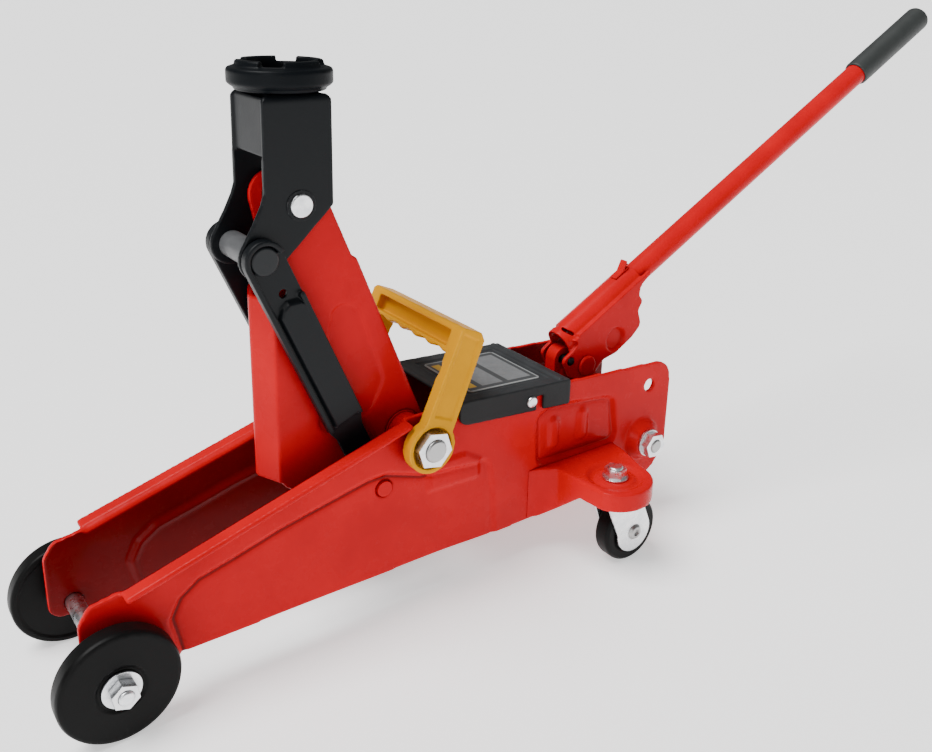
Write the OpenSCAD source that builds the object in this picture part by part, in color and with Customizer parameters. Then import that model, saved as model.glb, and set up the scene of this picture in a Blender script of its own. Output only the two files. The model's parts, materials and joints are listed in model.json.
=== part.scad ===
// Two-tonne hydraulic trolley jack, stored with its lifting arm fully raised.
// X runs from the front wheels to the handle, Y across the jack, Z up from the floor.

/* [Chassis] */
// Distance between the inner faces of the two side plates
chassis_gap = 66; // [50:1:120]
// Thickness of the side plate sheet
plate_t = 3.5; // [2:0.5:6]
// Radius of the front wheels, so also the height of the front axle
wheel_r = 31.6; // [20:0.1:60]
// Width of a front wheel's tread
wheel_w = 11.8; // [6:0.1:30]
// Distance from the middle of the jack to a front wheel's outer face
wheel_face_y = 54.2; // [45:0.1:90]
// Slope of the folded top edge of the side plates
flange_slope = 17; // [0:0.5:35]
// How far the folded top edge stands out from the side plate
flange_w = 9.5; // [3:0.5:20]
// Distance behind the front axle where the side plates end
chassis_end_x = 406; // [300:1:500]

/* [Lifting arm] */
// Distance of the arm pivot behind the front axle
pivot_x = 189; // [120:1:260]
// Height of the arm pivot above the floor
pivot_z = 110; // [80:1:140]
// Distance between the arm pivot and the saddle bracket pin
arm_len = 162.3; // [120:0.1:260]
// Angle of the arm above the horizontal as stored
arm_angle = 66; // [0:1:75]
// Half the width over the arm's two walls
arm_half = 17; // [12:0.5:30]
// Thickness of the arm's pressed sheet
arm_t = 3.5; // [2:0.5:6]
// Radius from the arm pivot to the crank pin that the ram pushes
crank_r = 50; // [30:1:70]

/* [Saddle] */
// Height of the lifted saddle's top rim above the floor
saddle_top_z = 332.4; // [250:0.1:450]
// Radius of the saddle
saddle_r = 27.8; // [15:0.1:60]
// Half the width over the saddle bracket's walls
bracket_half = 20.5; // [15:0.5:40]
// Thickness of the saddle bracket's sheet
bracket_t = 3; // [2:0.5:6]

/* [Rear castors] */
// Distance of the castor stems behind the front axle
castor_x = 318; // [260:1:380]
// Distance of the castor stems from the middle of the jack
castor_y = 74; // [50:0.5:120]
// Radius of a castor wheel
castor_r = 22.5; // [12:0.5:40]
// Trail of the castor axle behind its stem
castor_trail = 13; // [4:0.5:25]

/* [Handle] */
// Distance of the handle's pump pivot behind the front axle
socket_x = 344; // [300:1:400]
// Height of the handle's pump pivot above the floor
socket_z = 116; // [90:1:150]
// Angle of the handle above the horizontal as stored
handle_angle = 29; // [0:1:80]
// Radius of the handle tube
handle_r = 8.5; // [5:0.1:16]
// Distance from the pump pivot to the end of the handle grip
handle_len = 446; // [200:1:1200]
// Length of the rubber grip
grip_len = 94; // [40:1:200]

/* [Carrying handle] */
// Angle of the carrying handle above the horizontal as stored
bail_angle = 67; // [20:1:100]
// Distance from the arm pivot to the far side of its grip bar
bail_len = 74; // [50:1:120]

/* [Hidden] */
$fn = 64;

run = 0.05;          // radial running clearance of a shaft in its hole
axle_r = 5;          // front axle
gap_half = chassis_gap / 2;
plate_out = gap_half + plate_t;
flange_out = plate_out + flange_w;
pivot_bolt_r = 7;
crank_pin_r = 6;
link_pin_r = 6;

// Saddle bracket pin, worked out from the raised arm
pin_x = pivot_x - arm_len * cos(arm_angle);
pin_z = pivot_z + arm_len * sin(arm_angle);
saddle_pin_r = 6.5;
// The links are parallel to the arm, moved by this much
link_dx = -24;
link_dz = -26;
link_top_x = pin_x + link_dx;
link_top_z = pin_z + link_dz;
link_low_x = pivot_x + link_dx;
link_low_z = pivot_z + link_dz;
// Crank pin as stored, 225 degrees round from the rear
crank_x = pivot_x + crank_r * cos(225);
crank_z = pivot_z + crank_r * sin(225);
ram_z = 67;          // height of the ram's axis
ram_r = 9;

// Handle frame: u along the handle, n square to it, both from the pump pivot
axis_n = 21.5;
grip_r = handle_r + 1.7;
grip_round = 4.5;
grip_end = arc(grip_r - grip_round, handle_len - grip_round, grip_round, 0, 90, 8);
// Rear end of the grip, the rearmost point of the jack
tail_x = socket_x + max([for (p = grip_end) p[1] * cos(handle_angle) - (axis_n - p[0]) * sin(handle_angle)]);
// Middle of the whole jack along X, which becomes the origin
mid_x = (tail_x - wheel_r) / 2;

red = [0.78, 0.10, 0.10];
zinc = [0.80, 0.81, 0.83];
black = [0.16, 0.17, 0.18];
steel = [0.55, 0.56, 0.58];

// ---------- shared shapes ----------
module in_frame() {
  translate([-mid_x, 0, 0]) children();
}

// Extrudes an outline drawn in X and Z, from y0 to y1
module slab(y0, y1) {
  translate([0, y1, 0]) rotate([90, 0, 0]) linear_extrude(height = y1 - y0) children();
}

// Round bar along Y
module bar_y(x, z, y0, y1, r) {
  translate([x, y1, z]) rotate([90, 0, 0]) cylinder(h = y1 - y0, r = r);
}

// Round bar along X
module bar_x(x0, x1, y, z, r) {
  translate([x0, y, z]) rotate([0, 90, 0]) cylinder(h = x1 - x0, r = r);
}

// Hexagon along Y, sized across its flats
module hex_y(x, z, y0, y1, flats, turn = 0) {
  translate([x, y1, z]) rotate([90, turn, 0]) cylinder(h = y1 - y0, r = flats / sqrt(3), $fn = 6);
}

// Turned profile about a Y axis: points are [radius, y]
module turned_y(x, z, pts) {
  translate([x, 0, z]) rotate([-90, 0, 0]) rotate_extrude() polygon(pts);
}

function unit(v) = v / norm(v);
function turn_by(v, a) = [v[0] * cos(a) - v[1] * sin(a), v[0] * sin(a) + v[1] * cos(a)];
// Arc that rounds the corner c between p and n with radius r
function corner(p, c, n, r, steps) =
  let (v1 = unit(p - c), v2 = unit(n - c), half = acos(v1 * v2) / 2)
  let (start = c + v1 * r / tan(half), centre = c + unit(v1 + v2) * r / sin(half))
  let (way = v1[0] * v2[1] - v1[1] * v2[0] > 0 ? -1 : 1)
  r <= 0 ? [c] : [for (k = [0 : steps]) centre + turn_by(start - centre, way * (180 - 2 * half) * k / steps)];
// Outline with rounded corners: each point is [x, z, radius]
function rounded(p, steps = 6) =
  [for (i = [0 : len(p) - 1])
    each corner([p[(i + len(p) - 1) % len(p)][0], p[(i + len(p) - 1) % len(p)][1]],
                [p[i][0], p[i][1]],
                [p[(i + 1) % len(p)][0], p[(i + 1) % len(p)][1]], p[i][2], steps)];

// Height of the side plate's folded front edge and of its plain rear edge
fold_x = 8;
fold_z = 75;
fold_end_x = 178;
function fold_top(x) = fold_z + (x - fold_x) * tan(flange_slope);
function rear_top(x) = fold_top(fold_end_x) - (x - fold_end_x) * 0.052;

// ---------- chassis ----------
rear_bolt_x = 380;
rear_bolt_z = 59;
hang_x = 385;
hang_z = 99.5;
hang_r = 4.6;
plate_shape = [[-14, 23, 9], [270, 26.5, 0], [392, 29, 15], [chassis_end_x, 46, 14],
               [chassis_end_x, rear_top(chassis_end_x), 15],
               [fold_end_x + 14, rear_top(fold_end_x + 14) + 0.4, 12],
               [fold_end_x, fold_top(fold_end_x), 6], [fold_x + 2, fold_top(fold_x + 2), 0],
               [fold_x - 2, fold_z - 1, 0], [-8, 71.5, 7], [-14, 62, 6]];
long_panel = [[33, 28, 8], [250, 31, 8], [262, 44, 8], [258, 84, 5], [236, 89, 8],
              [214, 88, 10], [188, 86, 12], [166, 100, 8], [48, 67.5, 6], [33, 58, 10]];
rear_panel = [[280, 66, 5], [352, 64, 5], [350, 100, 5], [281, 108, 5]];
panel_depth = 1.2;

module flange(side) {
  bend = 2;
  length = (fold_end_x - fold_x) / cos(flange_slope);
  far = side * flange_out;
  mid = side * (plate_out + bend);
  top = bend + plate_t;
  translate([fold_x, 0, fold_z]) rotate([0, -flange_slope, 0]) {
    translate([0, 0, -top]) intersection() {
      translate([0, mid, 0]) rotate([0, 90, 0]) difference() {
        cylinder(h = length, r = top, $fn = 48);
        translate([0, 0, -1]) cylinder(h = length + 2, r = bend, $fn = 48);
      }
      translate([-1, side > 0 ? gap_half : -(gap_half + top), 0]) cube([length + 2, top, top]);
    }
    translate([0, min(mid, far), -plate_t]) cube([length, abs(far - mid), plate_t]);
  }
}

module side_plate(side) {
  inner = side * gap_half;
  outer = side * plate_out;
  boss = side * (plate_out + 7.5);
  lo = min(inner, outer);
  hi = max(inner, outer);
  difference() {
    union() {
      difference() {
        slab(lo, hi) polygon(rounded(plate_shape));
        // room for the rounded fold along the sloped front edge
        translate([fold_x, 0, fold_z]) rotate([0, -flange_slope, 0])
          translate([0, lo - 1, -plate_t - 2]) cube([(fold_end_x - fold_x) / cos(flange_slope), plate_t + 2, 20]);
      }
      flange(side);
      // pressed boss round the rear bolt
      turned_y(rear_bolt_x, rear_bolt_z, [[axle_r, outer], [16, outer], [11, boss], [axle_r, boss]]);
    }
    cut_lo = side > 0 ? hi - panel_depth : lo - 1;
    cut_hi = side > 0 ? hi + 1 : lo + panel_depth;
    slab(cut_lo, cut_hi) polygon(rounded(long_panel));
    slab(cut_lo, cut_hi) polygon(rounded(rear_panel));
    bar_y(0, wheel_r, lo - 1, hi + 1, axle_r + run);
    bar_y(pivot_x, pivot_z, lo - 1, hi + 1, pivot_bolt_r + run);
    bar_y(rear_bolt_x, rear_bolt_z, lo - 10, hi + 10, axle_r + run);
    bar_y(hang_x, hang_z, lo - 1, hi + 1, hang_r);
    bar_y(link_low_x, link_low_z, lo - 1, hi + 1, 5 + run);
    for (p = block_bolt_at) bar_y(p[0], p[1], lo - 1, hi + 1, 4 + run);
  }
}

module side_plate_left() color(red) in_frame() side_plate(-1);
module side_plate_right() color(red) in_frame() side_plate(1);

// ---------- front axle and wheels ----------
hub_in = plate_out + 0.5;
hub_out = wheel_face_y - 1.2;

module front_axle() color(steel) in_frame() {
  tip = hub_out + 9.8;
  turned_y(0, wheel_r, [[0, -tip], [3.2, -tip], [4, -tip + 0.8], [4, -hub_out - 0.2], [axle_r, -hub_out - 0.2],
                        [axle_r, hub_out + 0.2], [4, hub_out + 0.2], [4, tip - 0.8], [3.2, tip], [0, tip]]);
}

module front_wheel(side) {
  a = wheel_face_y - wheel_w;
  f = wheel_face_y;
  turned_y(0, wheel_r, [for (p = [[axle_r + run, hub_in], [10.5, hub_in], [12.5, a + 1], [27, a + 1], [28.5, a],
                        [wheel_r - 2, a], [wheel_r - 0.6, a + 0.6], [wheel_r, a + 2], [wheel_r, f - 3],
                        [wheel_r - 0.9, f - 0.9], [wheel_r - 3, f], [13.5, f], [11.8, hub_out],
                        [axle_r + run, hub_out]]) [p[0], side * p[1]]]);
}

module front_wheel_left() color(black) in_frame() front_wheel(-1);
module front_wheel_right() color(black) in_frame() front_wheel(1);

module front_wheel_washers() color(zinc) in_frame() {
  for (s = [-1, 1])
    turned_y(0, wheel_r, [for (p = [[4 + run, hub_out + 0.25], [10.3, hub_out + 0.25],
             [10.3, hub_out + 1.85], [4 + run, hub_out + 1.85]]) [p[0], s * p[1]]]);
}

module front_wheel_nuts() color(zinc) in_frame() {
  a = hub_out + 1.85;
  for (s = [-1, 1])
    difference() {
      hex_y(0, wheel_r, s > 0 ? a : -a - 6.5, s > 0 ? a + 6.5 : -a, 13, 20);
      bar_y(0, wheel_r, min(s * (a - 1), s * (a + 8)), max(s * (a - 1), s * (a + 8)), 4 + run);
    }
}

// ---------- arm pivot ----------
bail_in = plate_out + 5.4;
bail_out = bail_in + 8;
ring_sink = 4.5;

module arm_pivot_bolt() color(steel) in_frame() {
  tip = bail_out + 5;
  turned_y(pivot_x, pivot_z, [[0, -tip], [pivot_bolt_r - 1, -tip], [pivot_bolt_r, -tip + 1],
                              [pivot_bolt_r, tip - 1], [pivot_bolt_r - 1, tip], [0, tip]]);
}

module arm_pivot_spacers() color(steel) in_frame() {
  for (s = [-1, 1]) {
    turned_y(pivot_x, pivot_z, [for (p = [[pivot_bolt_r + run, arm_half + 0.3], [11, arm_half + 0.3],
             [11, gap_half], [pivot_bolt_r + run, gap_half]]) [p[0], s * p[1]]]);
    turned_y(pivot_x, pivot_z, [for (p = [[pivot_bolt_r + run, plate_out], [12, plate_out],
             [12, bail_in - 0.3], [pivot_bolt_r + run, bail_in - 0.3]]) [p[0], s * p[1]]]);
  }
}

module arm_pivot_nuts() color(zinc) in_frame() {
  a = bail_out - ring_sink + 0.3;
  for (s = [-1, 1])
    difference() {
      hex_y(pivot_x, pivot_z, s > 0 ? a : -a - 7.5, s > 0 ? a + 7.5 : -a, 21, 12);
      bar_y(pivot_x, pivot_z, min(s * (a - 1), s * (a + 9)), max(s * (a - 1), s * (a + 9)), pivot_bolt_r + run);
    }
}

// ---------- lower link pins and rear bolt ----------
link_in = 21;
link_base_t = 3;

module link_pivot_pins() color(steel) in_frame() {
  for (s = [-1, 1])
    turned_y(link_low_x, link_low_z, [for (p = [[0, arm_half + 1.2], [9, arm_half + 1.2], [9, link_in - 0.3],
             [link_pin_r, link_in - 0.3], [link_pin_r, link_in + link_base_t + 0.3],
             [9, link_in + link_base_t + 0.3], [9, gap_half], [5, gap_half],
             [5, plate_out - panel_depth], [0, plate_out - panel_depth]]) [p[0], s * p[1]]]);
}

module rear_cross_bolt() color(steel) in_frame() {
  tip = plate_out + 16.5;
  turned_y(rear_bolt_x, rear_bolt_z, [[0, -tip], [4, -tip], [axle_r, -tip + 1], [axle_r, tip - 1],
                                      [4, tip], [0, tip]]);
}

module rear_cross_nuts() color(zinc) in_frame() {
  a = plate_out + 7.5;
  for (s = [-1, 1])
    difference() {
      union() {
        turned_y(rear_bolt_x, rear_bolt_z, [for (p = [[axle_r + run, a], [9.8, a], [9.8, a + 1.6],
                 [axle_r + run, a + 1.6]]) [p[0], s * p[1]]]);
        hex_y(rear_bolt_x, rear_bolt_z, s > 0 ? a + 1.5 : -a - 8, s > 0 ? a + 8 : -a - 1.5, 16, 8);
      }
      bar_y(rear_bolt_x, rear_bolt_z, min(s * (a - 1), s * (a + 10)), max(s * (a - 1), s * (a + 10)), axle_r + run);
    }
}

// ---------- castor brackets ----------
ear_top = 62;
ear_low = 51;
ear_r = 25;
stem_r = 5;
ear_t = 3.2;

function arc(cx, cy, r, a0, a1, n) =
  [for (k = [0 : n]) let (a = a0 + (a1 - a0) * k / n) [cx + r * cos(a), cy + r * sin(a)]];
// Outline of the ear seen from above, for the side at +Y: a round end that flares into the side plate
function ear_outline(r, front, back) = concat(
  [[castor_x - front, plate_out - 0.5]], arc(castor_x - front, plate_out + front - r + 5, front - r + 5, 270, 322, 8),
  arc(castor_x, castor_y, r, 152, 0, 20), [[castor_x + back, plate_out + 12], [castor_x + back + 2, plate_out - 0.5]]);

module castor_bracket(side) {
  mirror([0, side > 0 ? 0 : 1, 0]) difference() {
    union() {
      difference() {
        translate([0, 0, 26]) linear_extrude(height = ear_top - 26) polygon(ear_outline(ear_r, 47, ear_r + 7));
        // pressed hollow underneath
        translate([0, 0, 20]) linear_extrude(height = ear_top - ear_t - 20)
          polygon(ear_outline(ear_r - ear_t, 47 - 2 * ear_t, ear_r + 7 - ear_t));
        // the skirt gets shallower towards the castor
        translate([castor_x - 80, 0, 0]) rotate([90, 0, 90]) linear_extrude(height = 160)
          polygon([[plate_out - 5, 0], [plate_out - 5, 28], [plate_out + 2, 28], [66, ear_low], [130, ear_low], [130, 0]]);
        translate([castor_x - 80, 0, 0]) cube([160, plate_out, 100]);
      }
      // raised seat round the stem
      translate([castor_x, castor_y, ear_top - 0.5]) cylinder(h = 1.7, r1 = 14, r2 = 12.5);
    }
    translate([castor_x, castor_y, 40]) cylinder(h = 40, r = stem_r + run);
  }
}

module castor_bracket_left() color(red) in_frame() castor_bracket(-1);
module castor_bracket_right() color(red) in_frame() castor_bracket(1);

// ---------- castors ----------
fork_top = ear_low + 4.3;
fork_t = 2.5;
fork_half = 9.2;
cw_half = 6.5;
castor_axle_r = 3.5;

// A castor in its own frame: stem on the Z axis, trail along +X
module castor_fork() {
  difference() {
    union() {
      // stem, ball race and crown
      rotate_extrude() polygon([[0, fork_top - 3], [13, fork_top - 3], [15.5, fork_top - 1.5], [15.5, fork_top + 1],
                                [13.5, ear_top - ear_t - 0.4], [7.5, ear_top - ear_t - 0.4], [stem_r, ear_top - ear_t - 0.4],
                                [stem_r, ear_top + 8.8], [stem_r - 0.8, ear_top + 9.6], [0, ear_top + 9.6]]);
      translate([-13, -fork_half, fork_top - 3 - fork_t]) cube([26, 2 * fork_half, fork_t]);
      for (s = [-1, 1])
        slab(s > 0 ? fork_half - fork_t : -fork_half, s > 0 ? fork_half : -fork_half + fork_t)
          polygon(concat([[-13, fork_top - 3], [-12, fork_top - 8]],
                         arc(castor_trail, castor_r, 14.5, 180, 385, 28), [[15.5, fork_top - 3]]));
    }
    bar_y(castor_trail, castor_r, -20, 20, castor_axle_r + run);
  }
}

module castor_wheel() {
  turned_y(castor_trail, castor_r, [[castor_axle_r + run, -cw_half], [7.5, -cw_half], [8.5, -cw_half + 1], [15, -cw_half + 1],
           [16, -cw_half], [castor_r - 2, -cw_half], [castor_r - 0.4, -cw_half + 1.4], [castor_r, -cw_half + 3],
           [castor_r, cw_half - 3], [castor_r - 0.4, cw_half - 1.4], [castor_r - 2, cw_half], [16, cw_half],
           [15, cw_half - 1], [8.5, cw_half - 1], [7.5, cw_half], [castor_axle_r + run, cw_half]]);
}

module castor_axle() {
  f = fork_half;
  turned_y(castor_trail, castor_r, [[0, -f - 2.4], [4, -f - 2], [5.6, -f], [castor_axle_r, -f], [castor_axle_r, f],
                                    [5.6, f], [4, f + 2], [0, f + 2.4]]);
}

module castor_place(side) {
  translate([castor_x, side * castor_y, 0]) children();
}

module castor_fork_left() color(zinc) in_frame() castor_place(-1) castor_fork();
module castor_fork_right() color(zinc) in_frame() castor_place(1) castor_fork();
module castor_wheel_left() color(black) in_frame() castor_place(-1) castor_wheel();
module castor_wheel_right() color(black) in_frame() castor_place(1) castor_wheel();
module castor_axle_left() color(steel) in_frame() castor_place(-1) castor_axle();
module castor_axle_right() color(steel) in_frame() castor_place(1) castor_axle();

module castor_nut() {
  base = ear_top + 1.3;
  difference() {
    union() {
      translate([0, 0, base]) cylinder(h = 1.2, r = 8.6);
      translate([0, 0, base + 1.1]) rotate(15) cylinder(h = 5.9, r = 13 / sqrt(3), $fn = 6);
    }
    translate([0, 0, base - 1]) cylinder(h = 10, r = stem_r + run);
  }
}

module castor_nut_left() color(zinc) in_frame() castor_place(-1) castor_nut();
module castor_nut_right() color(zinc) in_frame() castor_place(1) castor_nut();

// ---------- hydraulic unit ----------
block_x0 = 314;
block_x1 = 374;
block_top = 98;
tank_r = 29;
tank_x0 = 240;
cyl_r = 18;
bore_r = 14;
cyl_x0 = 235;
bolt_r = 4;
block_bolt_at = [[330, 46], [352, 46]];
lug_front_x = 341;
lug_in = 5.6;
lug_out = 9.4;
valve_z = 44;
plunger_x = 329.9;
plunger_r = 6;
plunger_rest = 121.35;

module pump_block() color(red) in_frame() {
  difference() {
    union() {
      slab(-gap_half, gap_half)
        polygon(rounded([[block_x0, 35, 4], [block_x1, 35, 3], [block_x1, 88, 10], [block_x0, 88, 3]]));
      translate([block_x0 + 5, -23, 80]) cube([block_x1 - block_x0 - 8, 46, block_top - 80]);
      for (s = [-1, 1])
        slab(s > 0 ? lug_in : -lug_out, s > 0 ? lug_out : -lug_in)
          polygon(concat([[socket_x + 13, block_top - 2]], arc(socket_x, socket_z, 9, 20, 172, 16),
                         [[lug_front_x, block_top + 7], [lug_front_x, block_top - 2]]));
    }
    bar_x(block_x0 - 1, block_x0 + 4, 0, ram_z, tank_r);
    translate([plunger_x, 0, 62]) cylinder(h = 60, r = 10);
    bar_y(socket_x, socket_z, -20, 20, 5);
    bar_x(block_x1 - 26, block_x1 + 1, 0, valve_z, 6);
    for (p = block_bolt_at) for (s = [-1, 1])
      bar_y(p[0], p[1], s > 0 ? gap_half - 14.5 : -40, s > 0 ? 40 : -gap_half + 14.5, bolt_r + run);
  }
}

module block_bolts() color(zinc) in_frame() {
  for (p = block_bolt_at) for (s = [-1, 1])
    bar_y(p[0], p[1], s > 0 ? gap_half - 14 : -plate_out, s > 0 ? plate_out : -gap_half + 14, bolt_r);
}

module oil_reservoir() color(red) in_frame() {
  difference() {
    bar_x(tank_x0, block_x0 + 4, 0, ram_z, tank_r);
    bar_x(tank_x0 + 5, block_x0 + 5, 0, ram_z, tank_r - 2.5);
    bar_x(tank_x0 - 1, tank_x0 + 6, 0, ram_z, cyl_r);
    translate([286, 0, ram_z]) cylinder(h = 40, r = 4);
  }
}

module ram_cylinder() color(steel) in_frame() {
  difference() {
    bar_x(cyl_x0, block_x0 + 4, 0, ram_z, cyl_r);
    bar_x(cyl_x0 - 1, block_x0, 0, ram_z, bore_r);
  }
}

module gland_nut() color(steel) in_frame() {
  difference() {
    union() {
      bar_x(cyl_x0 - 3.5, cyl_x0, 0, ram_z, 20);
      bar_x(cyl_x0 - 0.1, cyl_x0 + 5, 0, ram_z, bore_r);
    }
    bar_x(cyl_x0 - 5, cyl_x0 + 10, 0, ram_z, ram_r + run);
  }
}

module pump_cylinder() color(steel) in_frame() {
  difference() {
    union() {
      translate([plunger_x, 0, 62]) cylinder(h = block_top - 61.9, r = 10);
      translate([plunger_x, 0, block_top]) cylinder(h = 4, r = 17 / sqrt(3), $fn = 6);
    }
    translate([plunger_x, 0, 66]) cylinder(h = 60, r = plunger_r + run);
  }
}

module filler_plug() color(black) in_frame() {
  translate([286, 0, ram_z + tank_r - 4]) cylinder(h = 4.6, r = 4);
  translate([286, 0, ram_z + tank_r + 0.6]) cylinder(h = 3, r1 = 6.5, r2 = 5.5);
}

module release_valve() color(steel) in_frame() {
  difference() {
    union() {
      bar_x(block_x1 - 25, block_x1 + 0.5, 0, valve_z, 6 - run);
      bar_x(block_x1 + 0.4, block_x1 + 7, 0, valve_z, 6.5);
    }
    translate([block_x1 + 5, -9, valve_z - 1.1]) cube([3, 18, 2.2]);
  }
}

// ---------- plastic cover over the hydraulic unit ----------
cover_x0 = 216;
cover_x1 = 306;
cover_half = plate_out + 3;
cover_t = 2.4;
cover_screw_x = 272.5;
cover_screw_z = 115.5;
function cover_top(x) = rear_top(x) + 3.6;

module power_cover() color(black) in_frame() {
  difference() {
    union() {
      slab(-cover_half, cover_half)
        polygon(rounded([[cover_x0, cover_top(cover_x0) - 16, 7], [cover_x1, cover_top(cover_x1) - 18, 2],
                         [cover_x1, cover_top(cover_x1), 2], [cover_x0, cover_top(cover_x0), 4]]));
    }
    // inside, with room for the plates to stand up into the skirt
    slab(-cover_half + cover_t, cover_half - cover_t)
      polygon([[cover_x0 - 5, 60], [cover_x1 - cover_t, 60], [cover_x1 - cover_t, cover_top(cover_x1) - cover_t - 0.4],
               [cover_x0 - 5, cover_top(cover_x0) - cover_t]]);
    // the rear wall is cut away round the handle socket
    translate([cover_x1 - 10, -plate_out - 0.3, 60]) cube([20, 2 * plate_out + 0.6, cover_top(cover_x1) - cover_t - 61]);
    // sunken label field
    label_a = atan(0.052);
    translate([cover_x0 + 12, 0, cover_top(cover_x0 + 12) - 0.7]) rotate([0, label_a, 0])
      translate([0, -cover_half + 9, 0]) cube([66, 2 * cover_half - 18, 5]);
    for (s = [-1, 1]) bar_y(cover_screw_x, cover_screw_z, s > 0 ? 30 : -50, s > 0 ? 50 : -30, 2.2);
    // slots in both skirts
    translate([cover_screw_x + 4.5, -50, 100]) cube([6, 100, 18]);
  }
}

module cover_screws() color(zinc) in_frame() {
  for (s = [-1, 1])
    turned_y(cover_screw_x, cover_screw_z, [for (p = [[0, plate_out], [2.1, plate_out], [2.1, cover_half], [4, cover_half],
             [3.4, cover_half + 1.5], [0, cover_half + 2.1]]) [p[0], s * p[1]]]);
}

// ---------- ram ----------
head_half = 12.5;
head_w = 28;
slot_w = 15;
slot_low = 53;
slot_high = 82;
piston_x = 250;
piston_len = 9;

module ram() color(steel) in_frame() {
  difference() {
    union() {
      slab(-head_half, head_half)
        polygon(rounded([[crank_x - head_w / 2, 45, 6], [crank_x + head_w / 2, 45, 6],
                         [crank_x + head_w / 2, 90, 6], [crank_x - head_w / 2, 90, 6]]));
      bar_x(crank_x + head_w / 2 - 2, piston_x, 0, ram_z, ram_r);
    }
    // upright slot for the crank pin, which rises and falls as the arm turns
    slab(-20, 20)
      polygon(concat(arc(crank_x - 0.5, slot_high - slot_w / 2, slot_w / 2, 0, 180, 24),
                     arc(crank_x - 0.5, slot_low + slot_w / 2, slot_w / 2, 180, 360, 24)));
  }
}

module ram_piston() color(black) in_frame() {
  difference() {
    bar_x(piston_x - piston_len, piston_x, 0, ram_z, bore_r - run);
    bar_x(piston_x - piston_len - 1, piston_x + 1, 0, ram_z, ram_r);
  }
}

// ---------- lifting arm ----------
arm_front_x = 106.5;
arm_ridge_x = 99.5;
tip_r = 14.5;
notch_x = 111.5;
fold_top_z = 207;
arm_inner = arm_half - arm_t;
// Upper edge of the arm's walls, in two straight stretches with a small step between
rear_a = [199.5, 121];
rear_b = [158.5, 223.5];
rear_c = [155.3, 225.5];
rear_d = [142.5, 255.5];

arm_side = concat(
  arc(pivot_x, pivot_z, 15.5, -60, 22, 8),
  [rear_b, rear_c, rear_d, [138, 264.5]],
  arc(pin_x, pin_z, tip_r, 38, 200, 20),
  [[notch_x, 243], [notch_x, fold_top_z + 8], [arm_front_x, fold_top_z], [arm_front_x, 98], [arm_front_x + 4, 93]],
  arc(crank_x, crank_z, 13, 215, 310, 8));

module arm_wall(side) {
  difference() {
    slab(side > 0 ? arm_inner : -arm_half, side > 0 ? arm_half : -arm_inner) polygon(arm_side);
    // pressed recess low on the outside
    slab(side > 0 ? arm_half - 0.9 : -arm_half - 1, side > 0 ? arm_half + 1 : -arm_half + 0.9)
      polygon(rounded([[130, 118, 8], [166, 126, 8], [176, 146, 8], [158, 196, 8], [142, 200, 8]]));
  }
}

// Strip between the walls, just inside the edge that runs from p to q
module arm_web(p, q, start, stop) {
  along = unit(q - p);
  inward = [-along[1], along[0]];
  slab(-arm_inner - 0.1, arm_inner + 0.1)
    polygon([p + along * start + inward * 0.5, q - along * stop + inward * 0.5,
             q - along * stop + inward * (arm_t + 0.5), p + along * start + inward * (arm_t + 0.5)]);
}

module lift_arm() color(red) in_frame() {
  difference() {
    union() {
      for (s = [-1, 1]) arm_wall(s);
      // peaked underside, folded to a ridge along the middle
      translate([0, 0, 97]) linear_extrude(height = fold_top_z - 97)
        polygon([[arm_front_x + 1.2, -arm_half], [arm_front_x, -arm_half], [arm_ridge_x, -0.8], [arm_ridge_x, 0.8],
                 [arm_front_x, arm_half], [arm_front_x + 1.2, arm_half], [arm_front_x + 4, arm_inner - 0.5],
                 [arm_ridge_x + 3.4, 0.6], [arm_ridge_x + 3.4, -0.6], [arm_front_x + 4, -arm_inner + 0.5]]);
      // closing web along the upper side
      arm_web(rear_a, rear_b, 10, -1);
      arm_web(rear_c, rear_d, -5, 14);
    }
    bar_y(pin_x, pin_z, -30, 30, saddle_pin_r + run);
    bar_y(pivot_x, pivot_z, -30, 30, 12);
    bar_y(crank_x, crank_z, -30, 30, crank_pin_r);
  }
}

module arm_bush() color(steel) in_frame() {
  difference() {
    bar_y(pivot_x, pivot_z, -arm_half, arm_half, 12);
    bar_y(pivot_x, pivot_z, -arm_half - 1, arm_half + 1, pivot_bolt_r + run);
  }
}

module crank_pin() color(steel) in_frame() {
  turned_y(crank_x, crank_z, [[0, -arm_half], [crank_pin_r - 0.7, -arm_half], [crank_pin_r, -arm_half + 0.7],
           [crank_pin_r, arm_half - 0.7], [crank_pin_r - 0.7, arm_half], [0, arm_half]]);
}

// ---------- parallel links ----------
link_half = 11.6;
channel_len = 113;
link_out = link_in + 6.5;

// A link in its own frame: upper pin at the origin, lower pin along +X
module link_body(side) {
  lo = side > 0 ? link_in : -(link_in + link_base_t);
  hi = side > 0 ? link_in + link_base_t : -link_in;
  rib_lo = side > 0 ? link_in : -link_out;
  rib_hi = side > 0 ? link_out : -link_in;
  difference() {
    union() {
      slab(lo, hi) polygon(concat(arc(0, 0, link_half, 90, 270, 20), [[channel_len, -link_half], [channel_len + 8, -9]],
                                  arc(arm_len, 0, 9, -90, 90, 16), [[channel_len + 8, 9], [channel_len, link_half]]));
      // turned-up edges of the pressed channel
      slab(rib_lo, rib_hi) polygon([[2, -link_half], [channel_len, -link_half], [channel_len, -link_half + 3], [2, -link_half + 3]]);
      slab(rib_lo, rib_hi) polygon([[26, link_half - 3], [channel_len, link_half - 3], [channel_len, link_half], [26, link_half]]);
      slab(rib_lo, rib_hi) polygon(concat(arc(0, 0, link_half, 90, 270, 20), [[2, -link_half], [2, -link_half + 3]],
                                          arc(0, 0, link_half - 3, 268, 92, 18)));
    }
    bar_y(0, 0, -40, 40, link_pin_r + 0.3);
    bar_y(arm_len, 0, -40, 40, link_pin_r + run);
    bar_y(22, 1.5, -40, 40, 2.5);
  }
}

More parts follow.
